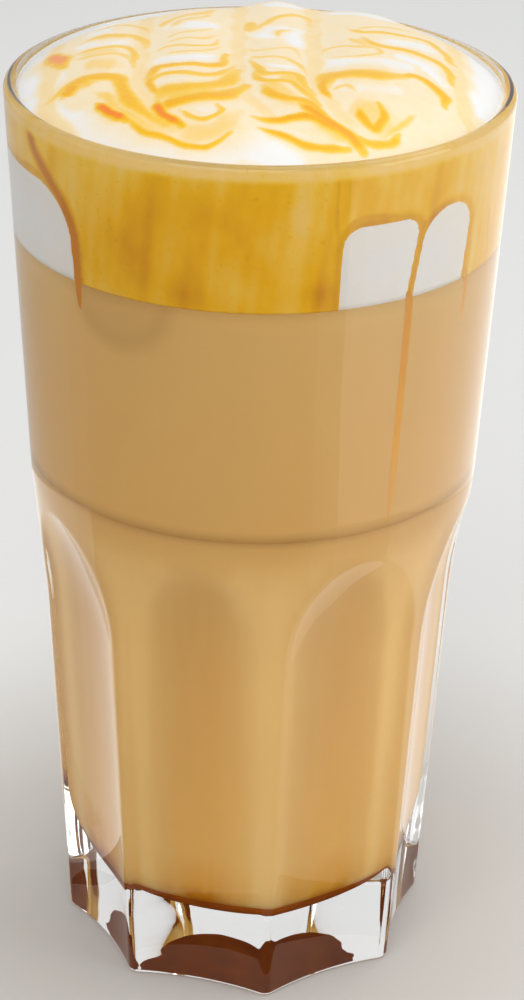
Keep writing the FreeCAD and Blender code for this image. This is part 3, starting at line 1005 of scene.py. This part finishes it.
# %% [markdown]
# ## How thick the coat is
#
# A thin coat looks pale gold and a thick one deep amber. It is thicker in a bead along the openings,
# where it has drawn back, and in the drips that hang from them. Noise alone could cloud it, but the
# large clouds and drips have their places, so they are listed, and waves that meet themselves round
# the glass fill in between.

# %% Drips and clouds
# half width, strength, corners (azimuth, height)
WALL_DRIPS = [
    (1.4, 1.1, [(-62, 153), (-59.5, 149.5), (-54, 146.3), (-49, 143), (-46, 138.5), (-45.3, 131)]),
    (0.6, 0.7, [(-72, 145), (-66, 146.2), (-60, 146.4), (-54, 145.6)]),
    (0.7, 0.85, [(40, 143), (39.6, 139.5), (38, 135), (37.2, 131)]),
    (0.6, 0.7, [(19.5, 143), (21, 145), (25, 145.8), (31, 145.3), (36, 144.2), (40, 142.6)]),
    (0.4, 0.6, [(17.4, 153), (17.6, 146), (18.2, 140), (17.6, 132)]),
    (0.5, 0.6, [(51, 145), (55.5, 142), (57.6, 137), (57, 131)]),
    (0.5, 0.45, [(66, 140), (67, 134), (66.5, 131)]),
    (0.5, 0.6, [(-172, 153), (-171, 145), (-170.5, 135), (-171, 131)]),
    (0.5, 0.6, [(150, 153), (149, 144), (150, 131)]),
    (0.6, 0.6, [(95, 153), (96, 146), (95.5, 138), (96, 131)]),
]
# azimuth, height, reach along the wall, extra thickness
WALL_PATCHES = [
    (-12, 147, 4, 0.25), (-13, 139, 3, 0.22), (-28, 137, 4, 0.28), (-27, 145, 5, 0.12),
    (-18, 133.5, 2.6, 0.32), (-12, 132.5, 2.2, 0.3), (15, 134, 2.4, 0.42), (14, 140, 2.5, 0.15),
    (3, 134, 4, 0.12), (4, 150, 4, 0.12), (26, 151, 7, 0.08), (8, 143, 5, -0.12),
    (-4, 134, 3, -0.15), (-42, 150, 7, -0.10), (66, 145, 8, -0.15), (-36, 134, 3, 0.15),
    (-22, 151, 4, 0.10), (-35, 143, 4, 0.08), (40, 149, 5, 0.08), (-64, 149.5, 3.5, -0.2),
    (2, 147, 5, 0.05), (110, 140, 8, 0.2), (170, 145, 9, 0.2), (-110, 146, 8, 0.15),
]
print(len(OPENINGS), "openings,", len(WALL_DRIPS), "drips and", len(WALL_PATCHES), "clouds")

# %% Thickness
COAT_TOP = GLASS_HEIGHT - 1.2
COAT_RADIUS = 38.2
MM_PER_DEGREE = math.radians(COAT_RADIUS)
CLOUD_STRETCH = 1.6
EVEN_COAT, LARGE_SWELLS, SMALL_SWELLS, BEAD = 0.33, 0.15, 0.06, 0.36


def swell(azimuth, z, lengths, seed):
    """Mean of the waves sin(n azimuth + k z + start), with n whole so that each meets itself."""
    chance = np.random.default_rng(seed)
    total = 0
    for length in lengths:
        turns = round(2 * math.pi * COAT_RADIUS / length) + chance.integers(-1, 2)
        rise = chance.normal() * math.pi / length / 4
        total = total + np.sin(turns * azimuth + rise * z + chance.uniform(0, 2 * math.pi))
    return total / len(lengths)


def coat_thickness(azimuth, z):
    """How thick the coat looks: swells, a bead, clouds and drips, and thin at its upper edge."""
    large = LARGE_SWELLS * swell(azimuth, z, (19, 13, 9, 6.5), seed=3)
    small = SMALL_SWELLS * swell(azimuth, z, (4, 3, 2.2), seed=8)
    thickness = EVEN_COAT + large + small + BEAD * bell(opening_distance(azimuth, z) - 0.7, 0.8)
    degrees = (np.degrees(azimuth) + 180) % 360 - 180
    for middle, height, reach, extra in WALL_PATCHES:
        across = ((degrees - middle + 180) % 360 - 180) * MM_PER_DEGREE
        away_squared = across ** 2 + (z - height) ** 2 / CLOUD_STRETCH
        thickness = thickness + extra * np.exp(-away_squared / reach ** 2)
    for width, strength, corners in WALL_DRIPS:
        line = smooth_line(corners) * (MM_PER_DEGREE, 1)
        gap, _ = distance_to(line, degrees * MM_PER_DEGREE, z)
        thickness = np.maximum(thickness, strength * bell(gap, 1.2 * width))
    return thickness * (1 - 0.9 * smooth_step(z, COAT_TOP - 2.2, COAT_TOP - 0.8))


# %% [markdown]
# ## The coat as one closed surface
#
# The coat is a band round the foam that reaches a little into the wall, and at the rear it ends
# lower. It could be a sheet with Solidify, but then its back would copy the dips of the openings.
# Here the rings go up the front of the band, over its top and down its even back, and a last row of
# faces closes it below.

# %% The caramel on the wall
COAT_COLUMNS, COAT_LEVELS = 720, 66
COAT_FOOT = COFFEE_LEVEL - 0.05
COAT_INTO_WALL, COAT_BEHIND, OPENING_DIP = 0.18, 0.8, 0.7
EDGE_SOFTNESS = 0.25
REAR_DROP, REAR_FROM, REAR_TO = 6.0, math.radians(82), math.radians(112)

coat_azimuths = all_round(COAT_COLUMNS)
rear = smooth_step(np.abs(turned_away(coat_azimuths, 0)), REAR_FROM, REAR_TO)
coat_rows = []
for level in np.linspace(COAT_FOOT, COAT_TOP, COAT_LEVELS):
    z = level - rear * REAR_DROP * (level - COFFEE_LEVEL) / (COAT_TOP - COFFEE_LEVEL)
    inside_opening = 1 - smooth_step(opening_distance(coat_azimuths, z), -EDGE_SOFTNESS, EDGE_SOFTNESS)
    coat_rows.append((wall_radius(z) + COAT_INTO_WALL - OPENING_DIP * inside_opening, z))
coat_top = COAT_TOP - rear * REAR_DROP
coat_rows.append((wall_radius(coat_top) - 0.2, coat_top))
coat_rows += [(wall_radius(z) - COAT_BEHIND, z) for z in (coat_top - 2.0, COAT_FOOT)]
coat_points = turned(coat_rows, coat_azimuths).reshape(-1, 3)

lower = np.arange(COAT_COLUMNS)
upper = lower + (len(coat_rows) - 1) * COAT_COLUMNS
closing = np.stack([upper, np.roll(upper, -1), np.roll(lower, -1), lower], axis=-1).tolist()
thickness = coat_thickness(np.arctan2(coat_points[:, 0], -coat_points[:, 1]), coat_points[:, 2])
coat = new_piece("caramel_on_wall", coat_points, ring_faces(len(coat_rows), COAT_COLUMNS) + closing,
                 ["caramel_coat"], {"thickness": thickness})
print("the coat looks", round(float(thickness.min()), 2), "to", round(float(thickness.max()), 2), "thick")

# %% [markdown]
# ## Runs over the coffee
#
# From some openings a run of caramel goes on down the wall, in front of the coffee. It could be
# painted on the coffee, but it lies against the glass and ends in a rounded tip, so it is a thin
# body: an ellipse carried down a line of the wall and narrowed at both ends.

# %% Rings of a run
RUN_INTO_WALL, RUN_THICKNESS = 0.05, 0.16


def run_rings(corners, first_width, last_width, sides=10, steps=30):
    """Rings of a run, from its tip up. At share s of its length it is w sqrt(1 - (2s - 1)^8) wide."""
    line = smooth_line(corners, steps)
    azimuth, z = np.radians(line[:, 0]), line[:, 1]
    share = np.linspace(0, 1, steps)
    half = first_width + (last_width - first_width) * share
    half = half * np.sqrt(np.clip(1 - (2 * share - 1) ** 8, 0.02, 1))
    turn = all_round(sides)
    radius = wall_radius(z)[:, None] + RUN_INTO_WALL + RUN_THICKNESS * np.sin(turn)
    across = azimuth[:, None] + half[:, None] * np.cos(turn) / radius
    return around(radius, across, z[:, None])[::-1]


# %% The runs
# half width at the top and at the tip, thickness it looks there, corners (azimuth, height)
RUNS = [
    (1.1, 0.35, 1.0, 0.85, [(-45.3, 132.5), (-45.2, 129.5), (-45.0, 126.5)]),
    (0.9, 0.7, 0.8, 0.12, [(37.2, 132.5), (37.6, 128), (37.3, 115), (37, 102), (36.7, 92)]),
    (0.6, 0.4, 0.6, 0.2, [(57.0, 132), (57.2, 128), (57, 124)]),
    (0.6, 0.3, 0.6, 0.3, [(-170.8, 132), (-171, 126), (-171, 122)]),
    (0.6, 0.3, 0.6, 0.3, [(96, 132), (96.3, 126), (96, 120)]),
]
run_points, run_faces, run_values = [], [], []
for first_width, last_width, first_look, last_look, corners in RUNS:
    rings = run_rings(corners, first_width, last_width)
    points, faces = closed_stack(rings, rings[0].mean(axis=0), rings[-1].mean(axis=0))
    offset = sum(len(earlier) for earlier in run_points)
    run_faces += [tuple(k + offset for k in face) for face in faces]
    run_points.append(points)
    looks = np.repeat(np.linspace(last_look, first_look, len(rings)), rings.shape[1])
    run_values.append(np.concatenate([looks, [last_look, first_look]]))
runs = new_piece("caramel_runs", np.concatenate(run_points), run_faces,
                 values={"thickness": np.concatenate(run_values)})

# %% [markdown]
# ## Finish of the caramel
#
# Caramel sauce is clear amber: where it is thin, the foam or the coffee behind it shows through, and
# where it is thick, it is deep gold. It could be a real absorbing volume, which renders slowly in so
# thin a body. A ramp over the thickness gives the same colours on an opaque surface. Streaks along
# the wall and a few dark specks break it up.

# %% Caramel on the wall and in the runs
DEEP_CARAMEL = under_glass(184, 119, 0)
CARAMEL_SURFACE = {"Roughness": 0.3, "IOR": 1.45, "Specular_IOR_Level": 0.0}

coat_look, tree, shader = new_material("caramel_on_wall", **CARAMEL_SURFACE)
streaks = noise(tree, 5.0, 4.0, (1, 1, 0.6))
specks = noise(tree, 0.6, 2.0)
seen_thickness = attribute(tree, "thickness") + (streaks - 0.5) * 0.6 + (specks - 0.63).at_least(0.0) * 1.7
feed(shader, Base_Color=ramp(tree, seen_thickness, (0.0, under_glass(236, 184, 116)),
                             (0.22, under_glass(222, 179, 76)), (0.45, under_glass(212, 166, 32)),
                             (0.7, under_glass(200, 149, 4)), (1.0, DEEP_CARAMEL)))
dress(coat, coat_look)

run_look, tree, shader = new_material("caramel_runs", **CARAMEL_SURFACE)
seen_thickness = attribute(tree, "thickness") + (noise(tree, 1.6, 2.0, (1, 1, 0.3)) - 0.5) * 0.2
feed(shader, Base_Color=ramp(tree, seen_thickness, (0.0, under_glass(206, 164, 100)),
                             (0.35, under_glass(210, 156, 62)), (1.0, DEEP_CARAMEL)))
dress(runs, run_look)

# %% [markdown]
# ## Surround
#
# A bright soft room lights the drink. A model of a room could do so, but a plain surround leaves the
# colours as they are written. It is brighter where it is seen, in the open, in the glass or through
# it, than as a source of light.

# %% Surround
LIGHT_OF_SURROUND, MORE_WHERE_SEEN = 0.55, 0.27

world = bpy.data.worlds.new("surround")
bpy.context.scene.world = world
world.use_nodes = True
background = world.node_tree.nodes["Background"]
camera_ray, glossy_ray, through_ray = new_node(
    world.node_tree, "ShaderNodeLightPath",
    output=("Is Camera Ray", "Is Glossy Ray", "Is Transmission Ray"))
seen = (camera_ray + glossy_ray + through_ray).at_most(1.0)
feed(background, Color=(1, 1, 1, 1), Strength=LIGHT_OF_SURROUND + MORE_WHERE_SEEN * seen)

# %% [markdown]
# ## Floor
#
# The glass stands on a pale matt table. A floor of one colour would do for the shadow, but the base
# also shows the floor through its ridges, so a soft painted shadow darkens the floor near the glass.
# The floor has a soft grain.
# It lies a hair below the glass, because two faces in one place flicker.

# %% Floor
FLOOR_REACH, AIR_UNDER_GLASS = 3000.0, 0.15


def new_staging(name, points, faces, look):
    """Mesh that belongs to the room and not to the object."""
    mesh = bpy.data.meshes.new(name)
    mesh.from_pydata((points * MM).tolist(), [], faces)
    staging = bpy.data.objects.new(name, mesh)
    bpy.context.collection.objects.link(staging)
    staging.data.materials.append(look)
    return staging


floor_look, tree, shader = new_material("pale_floor", Roughness=0.8, Specular_IOR_Level=0.0)
far = new_node(tree, "ShaderNodeVectorMath", {"operation": "LENGTH"}, {0: place_on_object(tree)}, "Value")
# painted shadow: the floor is darker near the glass and pales from 38 to 120 mm out, with a soft grain
painted_shadow_and_grain = far.step(38.0, 120.0) * 0.9 + noise(tree, 120.0, 2.0) * 0.1
feed(shader, Base_Color=ramp(tree, painted_shadow_and_grain, (0.0, srgb(214, 212, 208)), (0.95, srgb(245, 245, 244))))
corners = np.array([(-1, -1, 0), (1, -1, 0), (1, 1, 0), (-1, 1, 0)]) * FLOOR_REACH - (0, 0, AIR_UNDER_GLASS)
new_staging("floor", corners, [(0, 1, 2, 3)], floor_look)

# %% [markdown]
# ## Cards on the floor
#
# Seen from above, the wall of the glass mirrors the floor in front of it: a point at height z mirrors
# the floor about 2 z away. In a studio, pale and dark cards are laid there to draw soft bands on the
# glass. Lamps could do it, but they would also light the drink. These cards are flat glowing sectors
# of a ring that only mirror rays see, so they change the sheen of the glass alone.

# %% Cards
CARD_HEIGHT, CARD_POINTS = 1.0, 25


def make_card(name, first, last, near, far, brightness):
    """Flat card on the floor, from one azimuth to another and from near to far, seen in mirrors alone."""
    azimuth = np.radians(np.linspace(first, last, CARD_POINTS))
    points = turned([(near, CARD_HEIGHT), (far, CARD_HEIGHT)], azimuth).reshape(-1, 3)
    quads = [(i, i + 1, CARD_POINTS + 1 + i, CARD_POINTS + i) for i in range(CARD_POINTS - 1)]
    look, _, _ = new_material(name, Base_Color=(0, 0, 0, 1), Roughness=1.0, Specular_IOR_Level=0.0,
                              Emission_Color=(1, 0.99, 0.97, 1), Emission_Strength=brightness)
    card = new_staging(name, points, quads, look)
    card.visible_camera = card.visible_diffuse = card.visible_transmission = card.visible_shadow = False


# name, first and last azimuth, nearest and farthest, brightness
CARDS = [
    ("front_card", -84, 28, 51, 1500, 0.4), ("front_right_card", 28, 40, 51, 1500, 0.65),
    ("right_card", 40, 165, 181, 1500, 1.4), ("left_card", 165, 264, 181, 1500, 0.6),
    ("front_left_card", 264, 276, 51, 1500, 0.5), ("near_card", -84, 70, 36, 50, 0.1),
    ("near_right_card", 70, 165, 42, 180, 1.2), ("near_left_card", 195, 276, 42, 180, 1.1),
]
for card in CARDS:
    make_card(*card)
print(len(CARDS), "cards")

# %% [markdown]
# ## Lamps
#
# Three large soft lamps make up the rest of the light: one from the front, a weak one from above and
# one from the right. Small lamps would be brighter for their size and leave hard shadows and burnt
# spots on the foam.

# %% Lamps
LAMP_TARGET = (0, 0, 80)


def make_lamp(name, place, size, power):
    """Soft rectangular lamp that faces the middle of the glass."""
    lamp = bpy.data.objects.new(name, bpy.data.lights.new(name, "AREA"))
    lamp.data.shape = "RECTANGLE"
    lamp.data.size, lamp.data.size_y = size[0] * MM, size[1] * MM
    lamp.data.energy = power
    place, target = Vector(place) * MM, Vector(LAMP_TARGET) * MM
    turn = (target - place).to_track_quat("-Z", "Y").to_matrix().to_4x4()
    lamp.matrix_world = Matrix.Translation(place) @ turn
    bpy.context.collection.objects.link(lamp)
    print(name, power, "W")


make_lamp("front_lamp", (-250, -1000, 1000), (1200, 900), 5.9)
make_lamp("top_lamp", (300, 200, 1000), (700, 700), 2.0)
make_lamp("right_lamp", (1000, -350, 350), (700, 700), 3.0)
